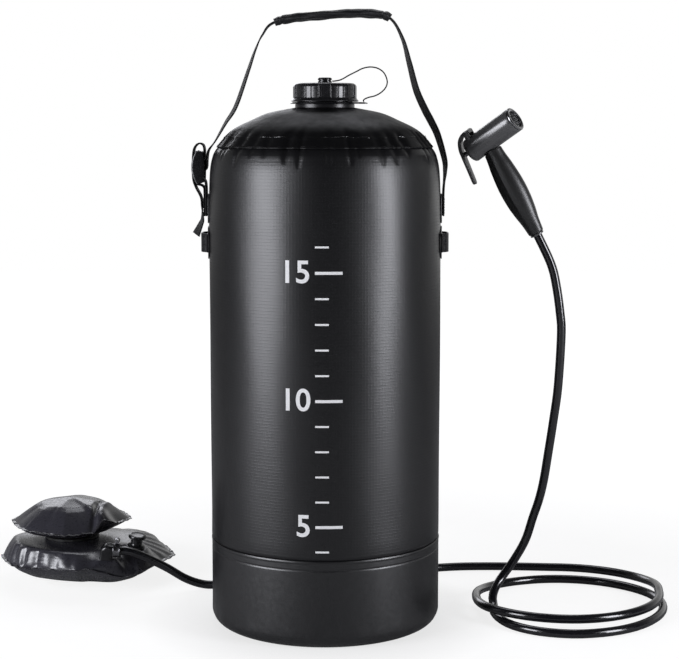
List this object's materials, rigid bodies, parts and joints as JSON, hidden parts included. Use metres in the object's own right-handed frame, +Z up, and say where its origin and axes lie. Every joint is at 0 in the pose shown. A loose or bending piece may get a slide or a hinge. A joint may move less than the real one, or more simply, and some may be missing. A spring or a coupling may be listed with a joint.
{
  "type": "camp shower",
  "caption": "Upright welded water bag with a carry handle and a screw cap, pressurised by a foot pump, with a coiled hose and a trigger shower head.",
  "frame": {"origin": "centre of the bag's flat round base, at ground height", "axes": "+Z up; +X to the right seen from the front, towards the hose coil; +Y to the back, where the hoses leave the bag"},
  "size_m": [0.7234, 0.3712, 0.6157],
  "materials": {
    "black_film": "semi-gloss coated fabric",
    "cup_film": "smooth coated film",
    "weld_film": "glossy welded film",
    "moulded": "moulded, semi-gloss",
    "webbing": "woven webbing",
    "soft_grip": "soft, matt",
    "rubber": "matt",
    "steel": "bright",
    "hose": "glossy hose",
    "pump_film": "glossy film",
    "foam": "open-cell foam",
    "head_grey": "satin"
  },
  "bodies": {
    "bag": {"air_check_valve": "rubber", "air_clamp_band": "steel", "air_clamp_screw": "steel", "air_elbow": "moulded", "air_flange": "moulded", "air_locknut": "moulded", "base_cup": "cup_film", "cap_tether": "moulded", "face_ring": "steel", "filler_neck": "moulded", "head_barrel": "head_grey", "head_core": "head_grey", "head_grip": "soft_grip", "hose_collar": "head_grey", "left_handle_patch": "weld_film", "left_holder_loop": "weld_film", "left_loop_patch": "weld_film", "lever_pin": "steel", "outlet_clamp_band": "steel", "outlet_clamp_screw": "steel", "outlet_elbow": "moulded", "outlet_flange": "moulded", "outlet_locknut": "moulded", "pump_bladder": "pump_film", "pump_clamp_band": "steel", "pump_clamp_screw": "steel", "pump_elbow": "moulded", "pump_hose": "hose", "pump_intake_flap": "rubber", "pump_intake_seat": "moulded", "pump_joining_ring": "weld_film", "right_handle_patch": "weld_film", "right_holder_loop": "weld_film", "right_loop_patch": "weld_film", "shower_hose_coil": "hose", "shower_hose_riser": "hose", "shower_hose_run": "hose", "side_wall": "black_film", "spray_plate": "head_grey", "spring_stop": "moulded", "tether_ring": "moulded", "top_dome": "black_film", "valve_spring": "steel"},
    "handle": {"handle_strap": "webbing", "handle_grip": "soft_grip", "ladder_lock": "moulded", "left_anchor_webbing": "webbing"},
    "cap_swivel": {"cap_swivel": "moulded"},
    "cap": {"cap": "moulded", "cap_gasket": "rubber"},
    "outlet_nut": {"outlet_nut": "moulded"},
    "air_nut": {"air_nut": "moulded"},
    "pump_cushion": {"pump_cushion": "pump_film", "pump_foam": "foam"},
    "pump_intake_cap": {"pump_intake_cap": "moulded"},
    "trigger": {"trigger_lever": "head_grey"},
    "valve_stem": {"valve_stem": "steel", "valve_seal": "rubber"}
  },
  "joints": [
    {"name": "handle_swing", "type": "hinge", "parent": "bag", "child": "handle", "pos_m": [0, 0, 0.42], "axis": [1, 0, 0], "range_deg": [-85, 85]},
    {"name": "cap_lift", "type": "slide", "parent": "bag", "child": "cap_swivel", "axis": [0, 0, 1], "range_m": [0, 0.03], "deforming": ["cap_tether"]},
    {"name": "cap_turn", "type": "hinge", "parent": "cap_swivel", "child": "cap", "pos_m": [0, 0, 0.5249], "axis": [0, 0, 1], "range_deg": [0, 540]},
    {"name": "outlet_nut_turn", "type": "hinge", "parent": "bag", "child": "outlet_nut", "pos_m": [0.02105, 0.11357, 0.03], "axis": [0.1822, 0.9833, 0], "continuous": true},
    {"name": "air_nut_turn", "type": "hinge", "parent": "bag", "child": "air_nut", "pos_m": [-0.02105, 0.11357, 0.03], "axis": [-0.1822, 0.9833, 0], "continuous": true},
    {"name": "pump_press", "type": "slide", "parent": "bag", "child": "pump_cushion", "axis": [0, 0, -1], "range_m": [0, 0.0228], "stiffness_N_per_m": 400, "springref_m": -0.02, "deforming": ["pump_cushion", "pump_foam"]},
    {"name": "intake_cap_flip", "type": "hinge", "parent": "bag", "child": "pump_intake_cap", "pos_m": [-0.21646, 0.11344, 0.05616], "axis": [-0.018, -0.992, -0.1253], "range_deg": [0, 110]},
    {"name": "trigger_press", "type": "hinge", "parent": "bag", "child": "trigger", "pos_m": [0.14202, 0.00639, 0.49532], "axis": [-0.3949, -0.8929, -0.2162], "range_deg": [0, 8], "stiffness_Nm_per_rad": 0.5, "springref_deg": -11.46},
    {"name": "valve_slide", "type": "slide", "parent": "bag", "child": "valve_stem", "axis": [0.7109, -0.4461, 0.5438], "range_m": [0, 0.0025]}
  ],
  "couplings": [
    {"joint": "valve_slide", "follows": "trigger_press", "m_per_rad": 0.017475}
  ]
}
